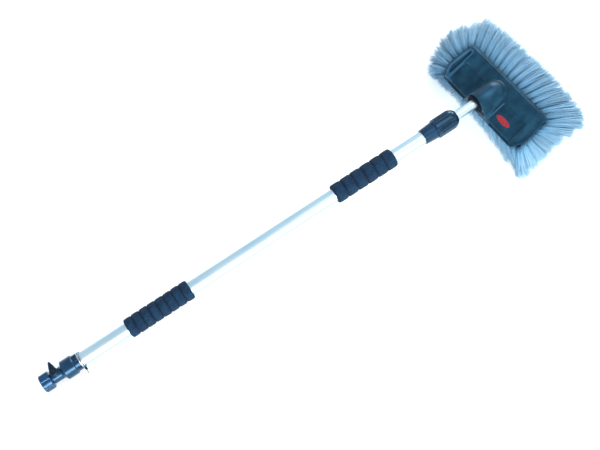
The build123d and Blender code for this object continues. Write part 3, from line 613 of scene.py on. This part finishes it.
def ease(t):
    """0 below 0, 1 above 1, and 3 t squared - 2 t cubed between."""
    t = np.clip(t, 0, 1)
    return t * t * (3 - 2 * t)


def highest(a, b, blend):
    """The higher of two heights, filleted where they are within blend of each other."""
    h = np.clip(0.5 + 0.5 * (a - b) / blend, 0, 1)
    return b + (a - b) * h + blend * h * (1 - h)


def box_inside(x, along, left, right, near, far):
    """How far a point is inside a rectangle, negative outside, with softened corners."""
    gaps = np.stack(np.broadcast_arrays(x - left, right - x, along - near, far - along))
    return -2.0 * np.log(np.exp(-gaps / 2.0).sum(0))


# %% [markdown]
# ### The hood
#
# The hood is part of a tube that lies along the pole and sinks into the deck, with a flare at its foot
# and a dome at its far end. Its height over a place in the plan follows from the tube's circle, so the
# hood always fits the pole, whatever the angle between pole and head.

# %% Height of the hood
HOOD_RADIUS = 20.0
HOOD_SHOULDER = 0.88
HOOD_CENTRE = 53.0
SOCKET_DEEP = 21.0
MOUTH_SET_BACK = 1.0
MOUTH_ROUND = 4.0
tilt = head_slope - lying


def to_head(points):
    """Points in metres to (x, along, height over the deck) in mm."""
    local = (np.asarray(points) - head_origin) @ np.stack([across, reach, lift], 1) / MM
    return local - np.array([0.0, 0.0, BLOCK_DEEP])


tube_end = stations("inner_tube")[1] / MM
mouth_station = tube_end - SOCKET_DEEP
mouth_along, mouth_height = to_head(mouth + run * mouth_station * MM)[1:]
print("hood mouth at", round(mouth_along, 1), "mm along,", round(mouth_height, 1), "mm over the deck")


def hood_height(x, along):
    """A tube of the hood's radius round the pole's axis, which sinks into the deck. Over the shoulder the
    round turns into a straight flare of the same slope. Past its centre it closes with a dome, and a
    plane square to the pole cuts its mouth."""
    axis = mouth_height - (along - mouth_along) * np.tan(tilt)
    out = np.hypot(x, np.clip(along - HOOD_CENTRE, 0, None))
    shoulder = HOOD_SHOULDER * HOOD_RADIUS
    round_top = np.sqrt(np.clip(HOOD_RADIUS**2 - out**2, 0, None))
    slope = HOOD_SHOULDER / np.sqrt(1 - HOOD_SHOULDER**2)
    flare = HOOD_RADIUS * np.sqrt(1 - HOOD_SHOULDER**2) - slope * (out - shoulder)
    top = axis + np.where(out < shoulder, round_top, flare) / np.cos(tilt)
    front = (along - mouth_along - MOUTH_SET_BACK) / np.tan(tilt) + mouth_height
    return -highest(-top, -front, MOUTH_ROUND)


# %% [markdown]
# ### The deck
#
# Each wall is a drop from the deck to the brim over its own short run, so near, left and far walls are
# steep and the right one is gentle. The drops join with a sixth-power sum, which rounds the corners.
# Panels and pocket are steps down with soft edges, and a low bead runs outside the pocket's lip.

# %% Height of the deck
BRIM_DROP = 7.0
WALLS = {"near": (3.0, 7.5), "left": (3.0, 7.5), "right": (4.0, 20.0), "far": (0.5, 4.0)}
END_SLANT = 0.96
CROWN = 0.5
CROWN_SPAN = 120
PANELS = ((-91.0, -29.0), (33.0, 97.0))
PANEL_NEAR, PANEL_FAR, PANEL_DEEP, PANEL_EDGE = -20.0, 52.0, 2.5, 1.5
POCKET_MARGIN, POCKET_DEEP, POCKET_EDGE, RIDGE_FOOT = 13.0, 4.0, 2.2, -97.0
BEAD_HIGH, BEAD_WIDE, BEAD_OUT, BEAD_STARTS = 1.5, 1.7, 2.6, -88
HOOD_FILLET = 8.0
EDGE_ROUNDING = 1.2


def deck_height(x, along):
    """Walls, panels, pocket, ridge and hood together, in mm over the deck."""
    wide = half_width(along)
    gaps = {
        "near": along,
        "far": DEPTH - along,
        "left": (wide + x) * END_SLANT,
        "right": (wide - x) * END_SLANT,
    }
    drops = [
        BRIM_DROP * (1 - ease((gap - WALLS[side][0]) / (WALLS[side][1] - WALLS[side][0])))
        for side, gap in gaps.items()
    ]
    walls = -(sum(drop**6 for drop in drops) ** (1 / 6))
    crown = CROWN * np.cos(x / CROWN_SPAN * np.pi / 2) * np.sin(along / DEPTH * np.pi)
    height = walls + crown
    for left, right in PANELS:
        inside = box_inside(x, along, left, right, PANEL_NEAR, PANEL_FAR)
        height = height - PANEL_DEEP * ease(inside / PANEL_EDGE + 0.5)
    sides = np.stack(np.broadcast_arrays(gaps["near"], gaps["far"], gaps["left"])) - POCKET_MARGIN
    inside = -2.0 * np.log(np.exp(-sides / 2.0).sum(0) + np.exp(-(RIDGE_FOOT - x) / 2.0))
    bead = np.exp(-(((inside + BEAD_OUT) / BEAD_WIDE) ** 2))
    bead = bead * ease((BEAD_STARTS - x) / 4) * ease((gaps["left"] - 5) / 3)
    height = height - POCKET_DEEP * ease(inside / POCKET_EDGE + 0.5) + BEAD_HIGH * bead
    height = highest(height, hood_height(x, along), HOOD_FILLET)
    edge_gap = np.clip(EDGE_ROUNDING - np.minimum.reduce(list(gaps.values())), 0, EDGE_ROUNDING)
    return height - (EDGE_ROUNDING - np.sqrt(EDGE_ROUNDING**2 - edge_gap**2))


# %% Mesh of the block
# Below the brim the outline shrinks in loops, each by an inset at a height over the deck, to the foot
# and back up to a ceiling over the bristles.
ROWS, COLUMNS = 171, 341
UNDER = ((0.0, -8.8), (1.6, -12.5), (4.4, -15.4), (5.6, -16.0), (9.0, -16.0), (9.1, -11.7))


def crowded(count):
    """Shares from 0 to 1, closer together at both ends: a quarter cosine, three quarters even."""
    even = np.linspace(0, 1, count)
    return 0.75 * even + 0.25 * (0.5 - 0.5 * np.cos(np.pi * even))


plan_along = (DEPTH * crowded(ROWS))[:, None] + np.zeros(COLUMNS)
plan_share = (2 * crowded(COLUMNS) - 1)[None, :] + np.zeros((ROWS, 1))
plan_x = plan_share * half_width(plan_along)
heights = deck_height(plan_x, plan_along)
top = np.stack([plan_x, plan_along, heights], -1).reshape(-1, 3)
cells = np.arange(ROWS * COLUMNS).reshape(ROWS, COLUMNS)
rim = np.concatenate([cells[0], cells[1:, -1], cells[-1, -2::-1], cells[-2:0:-1, 0]])
loops = []
for inset, height in UNDER:
    shrunk = top[rim].copy()
    shrunk[:, 0] *= 1 - inset / half_width(top[rim, 1])
    shrunk[:, 1] = DEPTH / 2 + (shrunk[:, 1] - DEPTH / 2) * (1 - inset / (DEPTH / 2))
    shrunk[:, 2] = height
    loops.append(shrunk)
centre = np.array([[0.0, DEPTH / 2, UNDER[-1][1]]])
local = np.concatenate([top, *loops, centre])
levels = [rim] + [len(top) + step * len(rim) + np.arange(len(rim)) for step in range(len(UNDER))]
walls = [
    np.stack([upper, lower, np.roll(lower, -1), np.roll(upper, -1)], -1)
    for upper, lower in zip(levels, levels[1:])
]
ceiling = np.stack([levels[-1], np.full(len(rim), len(local) - 1), np.roll(levels[-1], -1)], -1)
points = on_head(local[:, 0] * MM, local[:, 1] * MM, (local[:, 2] + BLOCK_DEEP) * MM)

# %% [markdown]
# ### Wear, painted highlights and painted shade
#
# The relief of a place is its height less the mean height of its neighbours, so it is below zero in a
# crease and above zero on an edge. Raised edges get wear and a painted highlight, most on the lip and
# ridge of the left end, and the hood's right shoulder gets a painted highlight. Creases and the hood's
# mouth get painted shade.

# %% Relief of the block
NEIGHBOURS = (-6, -3, 0, 3, 6)
REACHED = max(NEIGHBOURS)
FULL_RELIEF = 0.5
WEAR_AND_HIGHLIGHT_ELSEWHERE = 0.3
WEAR_AND_HIGHLIGHT_FROM = -78
HOOD_HIGHLIGHT_AT, HOOD_HIGHLIGHT_WIDE = (9, 40), (6.5, 17)
padded_heights = np.pad(heights, REACHED, mode="edge")
near_by = sum(
    padded_heights[REACHED + down : REACHED + down + ROWS, REACHED + side : REACHED + side + COLUMNS]
    for down in NEIGHBOURS
    for side in NEIGHBOURS
) / len(NEIGHBOURS) ** 2
relief = np.clip((heights - near_by) / FULL_RELIEF, -1, 1)
# Wear and painted highlight on raised edges: full at the left end, weaker elsewhere.
end_wear_and_highlight = WEAR_AND_HIGHLIGHT_ELSEWHERE + (1 - WEAR_AND_HIGHLIGHT_ELSEWHERE) * ease((WEAR_AND_HIGHLIGHT_FROM - plan_x) / 8)
relief = np.where(relief > 0, relief * end_wear_and_highlight, relief)
# Painted highlight on the hood's right shoulder.
hood_painted_highlight = np.exp(
    -(((plan_x - HOOD_HIGHLIGHT_AT[0]) / HOOD_HIGHLIGHT_WIDE[0]) ** 2)
    - ((plan_along - HOOD_HIGHLIGHT_AT[1]) / HOOD_HIGHLIGHT_WIDE[1]) ** 2
)
relief = np.maximum(relief, 0.95 * hood_painted_highlight)
# Painted shade over the hood's mouth: its relief is set to -1.
mouth_painted_shade = (plan_along < mouth_along - 1) & (np.abs(plan_x) < HOOD_RADIUS + 6) & (heights > -1)
relief = np.where(mouth_painted_shade, -1.0, relief)
relief = np.concatenate([relief.ravel(), np.zeros(len(local) - len(top))])
head_shell = make_piece(
    "head_moulding",
    points,
    np.concatenate([grid_quads(ROWS, COLUMNS, False, False), *walls]),
    ceiling,
    relief=relief,
)
head_shell.data.materials.append(head_plastic)
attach(head_shell, "head")
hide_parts("head_block")

# %% [markdown]
# ## Socket ring
#
# The pole enters the hood through a rounded ring with a narrow dark gap round the tube. It is a profile
# of (distance along the pole, radius) carried round the pole's axis, closed in both directions.

# %% Turned profiles
def turned(name, profile, material, body, slot_name, around=96):
    """Carries a closed profile of (station, radius) in mm round the pole's axis: every point goes to
    radius times (sin, cos) of the angle."""
    station, radius = np.array(profile, float).T * MM
    angle = np.linspace(0, 2 * np.pi, around, endpoint=False)
    right, up = radius[:, None] * np.sin(angle), radius[:, None] * np.cos(angle)
    points = on_pole(station[:, None] + 0 * angle, right, up)
    piece = make_piece(name, points.reshape(-1, 3), grid_quads(len(station), around, True, True))
    piece.data.materials.append(material)
    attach(piece, body)
    return piece


m = mouth_station
ring_profile = [
    (m + 7.0, 18.8),
    (m + 0.4, 19.4),
    (m - 1.2, 19.0),
    (m - 2.0, 17.6),
    (m - 2.2, 14.0),
    (m - 2.0, 12.4),
    (m - 1.2, 11.5),
    (m + 0.4, 11.2),
    (m + 7.0, 11.2),
]
# Its near-black finish is painted shade at the hood's mouth.
socket_ring = turned("head_socket_ring", ring_profile, socket_painted_shade_plastic, "head", "head_plastic")
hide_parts("head_block")

# %% [markdown]
# ## Bristles
#
# Bristles are set in tufts: a bundle of strands is folded into a hole and splays as it leaves. Outer
# tufts lean out on all four sides, and the inner ones stand nearly upright. One strand is a thin
# three-sided rod of four rings that ends in a point, so a tuft of a hundred stays light. A strand's line
# runs from its root to its tip with a slight bow.

# %% Strand lines
SHARES = np.array([0.0, 0.22, 0.56, 0.94, 1.0])
STRAND_RINGS = len(SHARES)
ROOT_RADIUS = 3.2 * MM
STRAND_RADIUS = 0.33 * MM
SPLAY_POWER = 1.3
KEPT_IN_TUFT = 0.96
LENGTH_SPREAD = 0.022
BEND_SPREAD = 0.9 * MM
OVER_FLOOR = 0.6 * MM
TUFT_SHADE = 0.35
strand_noise = np.random.default_rng(29)


def unit(vectors):
    """Each vector divided by its length."""
    return vectors / np.linalg.norm(vectors, axis=-1, keepdims=True)


def tuft_strands(root, tip, strands, tip_radius, bow):
    """Strand lines of many tufts at once. Place at share t is root + t (tip - root), plus the strand's own
    place across the tuft times a width that grows as t to the power 1.3, plus a bow of 4 t (1 - t). A
    few strands stray out of the tuft. Gives points (tuft, strand, ring, 3) and one shade per strand."""
    main = unit(tip - root)
    side = unit(np.cross(main, lift))
    other = np.cross(side, main)
    turn = strand_noise.uniform(0, 2 * np.pi, (len(root), strands))
    place = np.sqrt(strand_noise.uniform(0, 1, (len(root), strands)))
    strays = strand_noise.uniform(0, 1, place.shape) > KEPT_IN_TUFT
    stray = 1 + strays * strand_noise.uniform(0.1, 0.35, place.shape)
    length = 1 + strand_noise.normal(0, LENGTH_SPREAD, place.shape)
    width = ROOT_RADIUS + (tip_radius - ROOT_RADIUS) * SHARES**SPLAY_POWER
    across_tuft = place * stray
    reached = (SHARES * length[..., None])[..., None]
    ring_along = root[:, None, None, :] + (tip - root)[:, None, None, :] * reached
    offset = (across_tuft[..., None] * width)[..., None]
    side, other = side[:, None, None, :], other[:, None, None, :]
    sideways = np.cos(turn)[..., None, None] * side + np.sin(turn)[..., None, None] * other
    bend = strand_noise.normal(0, 1, (len(root), strands, 2)) * BEND_SPREAD
    bowed = (SHARES * (1 - SHARES) * 4)[None, None, :, None]
    wander = bowed * (bend[..., :1, None] * side + bend[..., 1:, None] * other)
    line = ring_along + offset * sideways + wander + bowed * bow * lift
    line[..., 2] = np.maximum(line[..., 2], OVER_FLOOR)
    tuft_shade = strand_noise.uniform(0, 1, (len(root), 1))
    shade = TUFT_SHADE * tuft_shade + (1 - TUFT_SHADE) * strand_noise.uniform(0, 1, place.shape)
    return line, shade


# %% Strands to a mesh
def bristle_piece(name, node, groups):
    """Turns strand lines into one mesh of thin rods: three corners round each ring but the last, which is
    a point. The rod's radius falls by a sixth of the share along, to about 0.84 before the tip."""
    lines, shades = [], []
    for group in groups:
        line, shade = tuft_strands(*group)
        lines.append(line.reshape(-1, STRAND_RINGS, 3))
        shades.append(shade.reshape(-1))
    line = np.concatenate(lines)
    shade = np.concatenate(shades)
    count = len(line)
    heading = unit(line[:, -1] - line[:, 0])
    side = unit(np.cross(heading, across + 0.3 * lift))
    other = np.cross(heading, side)
    radius = STRAND_RADIUS * (1 - SHARES[:-1] / 6)
    corner = np.arange(3) * 2 * np.pi / 3
    right, up = np.cos(corner)[None, :, None], np.sin(corner)[None, :, None]
    around = right * side[:, None] + up * other[:, None]
    rods = line[:, :-1, None, :] + radius[None, :, None, None] * around[:, None]
    points = np.concatenate([rods.reshape(count, -1, 3), line[:, -1:, :]], 1)
    per_strand = points.shape[1]
    one_wall = grid_quads(STRAND_RINGS - 1, 3, False, True)
    last = (STRAND_RINGS - 2) * 3
    tip = per_strand - 1
    one_end = np.array([[last, last + 1, tip], [last + 1, last + 2, tip], [last + 2, last, tip], [2, 1, 0]])
    start = (np.arange(count) * per_strand)[:, None, None]
    along = np.concatenate([np.repeat(SHARES[:-1], 3), SHARES[-1:]])
    uv = np.stack([np.tile(along, count), np.repeat(shade, per_strand)], -1)
    piece = make_piece(
        name,
        points.reshape(-1, 3),
        (one_wall + start).reshape(-1, 4),
        (one_end + start).reshape(-1, 3),
        uv,
    )
    piece.data.materials.append(filament)
    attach(piece, "head")
    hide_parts(node)
    return piece


# %% [markdown]
# ### Where tufts stand and where they point
#
# A row of tufts has roots on a straight line under the block and tips on a shallow curve. The curve is
# given by its two ends and its middle, and a parabola runs through them. The left end fans out far, the
# right end hangs steeper, and the near side only leans a little past the block. All places on the head
# are (x, along) in millimetres, and the brush is trimmed to one height under the deck.

# %% Rows of tufts
TRIM = -40.0
ROOT_HEIGHT = 0.2


def tuft_row(count, root_ends, tip_curve, strands, tip_radius, bow, inset=0.0, jitter=1.3):
    """Roots evenly between two (x, along) points; tips on the parabola through start, middle and end.
    Middle m of the curve becomes the control 2 m - (start + end) / 2. Inset moves the tips inwards."""
    share = ((np.arange(count) + 0.5) / count)[:, None]
    ends = np.array(root_ends, float)
    start, middle, end = (np.array(p, float) for p in tip_curve)
    control = 2 * middle - (start + end) / 2
    root = ends[0] + (ends[1] - ends[0]) * share
    reached = (share - share[0]) / (share[-1] - share[0])
    tip = start * (1 - reached) ** 2 + 2 * control * reached * (1 - reached) + end * reached**2
    centre = np.array([0.0, DEPTH / 2])
    tip = tip + unit(centre - tip) * inset
    tip = tip + strand_noise.normal(0, jitter, tip.shape)
    low = np.full(count, TRIM) + strand_noise.normal(0, jitter, count)
    roots = on_head(root[:, 0] * MM, root[:, 1] * MM, np.full(count, ROOT_HEIGHT * MM))
    tips = on_head(tip[:, 0] * MM, tip[:, 1] * MM, low * MM)
    return roots, tips, strands, tip_radius * MM, bow * MM


# %% Outer rows
edge = HALF - 9.0
left_tips = ((-164, 121), (-193, 57), (-160, -3))
right_tips = ((143, 130), (144, 54), (146, -20))
far_tips = ((-154, 141), (-8, 150), (133, 137))
near_tips = ((-150, -6), (0, -3), (140, -15))

bristle_piece(
    "bristles_far_strands",
    "bristles_far",
    [
        tuft_row(16, ((-106, DEPTH - 7), (106, DEPTH - 7)), far_tips, 260, 15.0, 5.0),
        tuft_row(15, ((-100, DEPTH - 15), (100, DEPTH - 15)), far_tips, 200, 14.0, 1.0, inset=26),
    ],
)
bristle_piece(
    "bristles_left_strands",
    "bristles_left",
    [
        tuft_row(7, ((-edge, DEPTH - 8), (-edge, 10)), left_tips, 320, 16.0, 9.0),
        tuft_row(6, ((-edge + 9, DEPTH - 12), (-edge + 9, 14)), left_tips, 240, 15.0, 2.0, inset=28),
    ],
)
bristle_piece(
    "bristles_right_strands",
    "bristles_right",
    [
        tuft_row(7, ((edge, DEPTH - 8), (edge, 10)), right_tips, 340, 15.0, 4.0),
        tuft_row(6, ((edge - 9, DEPTH - 12), (edge - 9, 14)), right_tips, 260, 14.0, 0.0, inset=18),
    ],
)
bristle_piece(
    "bristles_near_strands",
    "bristles_near",
    [
        tuft_row(16, ((-102, 8), (102, 8)), near_tips, 210, 13.0, 2.0),
        tuft_row(15, ((-96, 17), (96, 17)), near_tips, 170, 12.0, 1.0, inset=12),
    ],
)

# %% Inner rows
FIELD_START, FIELD_STEP, FIELD_ROWS = 27, 12, 4
FIELD_LEAN = 0.5
field_rows = []
for step in range(FIELD_ROWS):
    along = FIELD_START + FIELD_STEP * step
    tip_along = along + (along - DEPTH / 2) * FIELD_LEAN + 6
    tips = ((-116, tip_along), (-4, tip_along), (108, tip_along))
    field_rows.append(tuft_row(13, ((-92, along), (92, along)), tips, 95, 9.0, 0.0))
bristle_piece("bristles_field_strands", "bristles_field", field_rows)

# %% [markdown]
# ## Floor, light and camera
#
# A pale floor and a bright, even sky keep shadows soft, as in a light tent, and the floor glows a little,
# like a light table, so that shadows stay pale. The main lamp is large, soft and low on the right, which
# gives the round parts their shading. Two weaker ones, far on the left and high over the head, fill in.
# The camera looks down on the pole from its right.

# %% Floor
FLOOR_HALF = 40.0
span = np.array([[-1, -1, 0], [1, -1, 0], [1, 1, 0], [-1, 1, 0]]) * FLOOR_HALF
floor = make_piece("floor", span, np.array([[0, 1, 2, 3]]))
floor_finish, tree = new_material("painted_board")
place = add(tree, "TexCoord").outputs["Object"]
speckle = add(tree, "TexNoise", {"Vector": place, "Scale": 3.0, "Detail": 2.0})
tones = ((0.3, "#f4f7f8"), (0.7, "#f7f9fa"))
colour = add(tree, "ValToRGB", {"Fac": speckle.outputs["Fac"]}, stops=tones)
finish_with(
    tree,
    {
        "Base Color": colour.outputs["Color"],
        "Roughness": 0.9,
        "Emission Color": linear("#f4fbff"),
        "Emission Strength": 0.32,
    },
)
floor.data.materials.append(floor_finish)

# %% Light
world = bpy.data.worlds.new("light_tent")
bpy.context.scene.world = world
world.use_nodes = True
sky = world.node_tree.nodes["Background"].inputs
sky["Color"].default_value = linear("#e9f4ff")
sky["Strength"].default_value = 0.74


def soft_lamp(name, place, aim, size, power):
    """A square area lamp at place that faces aim."""
    data = bpy.data.lights.new(name, "AREA")
    data.size = size
    data.energy = power
    lamp = bpy.data.objects.new(name, data)
    lamp.location = place
    lamp.rotation_euler = (Vector(aim) - Vector(place)).to_track_quat("-Z", "Y").to_euler()
    bpy.context.scene.collection.objects.link(lamp)
    print(f"{name}: {power} W, {size} m across")


soft_lamp("window_lamp", (2.9, -0.5, 1.2), (0, 0, 0), 1.5, 105)
soft_lamp("fill_lamp", (-1.6, 2.2, 1.2), (-0.1, 0.45, 0), 1.5, 45)
soft_lamp("top_lamp", (0.6, 1.2, 2.4), (0, 0.3, 0), 1.4, 14)

# %% Camera
AIM = Vector((0.0244, -0.0064, 0.040))
DISTANCE = 1.852
LENS_MM = 59.65
AZIMUTH, ELEVATION, ROLL = (math.radians(angle) for angle in (70.44, 58.80, 14.41))
back = Vector(
    (math.sin(AZIMUTH) * math.cos(ELEVATION), -math.cos(AZIMUTH) * math.cos(ELEVATION), math.sin(ELEVATION))
)
level_right = (-back).cross(Vector((0, 0, 1))).normalized()
level_up = level_right.cross(-back)
camera_up = level_up * math.cos(ROLL) + level_right * math.sin(ROLL)
camera_right = (-back).cross(camera_up)
camera_data = bpy.data.cameras.new("camera")
camera_data.lens = LENS_MM
camera = bpy.data.objects.new("camera", camera_data)
turn = Matrix((camera_right, camera_up, back)).transposed()
camera.matrix_world = Matrix.Translation(AIM + back * DISTANCE) @ turn.to_4x4()
bpy.context.scene.collection.objects.link(camera)
bpy.context.scene.camera = camera
bpy.context.scene.view_settings.view_transform = "Standard"
print("camera at", [round(c, 3) for c in camera.matrix_world.translation])
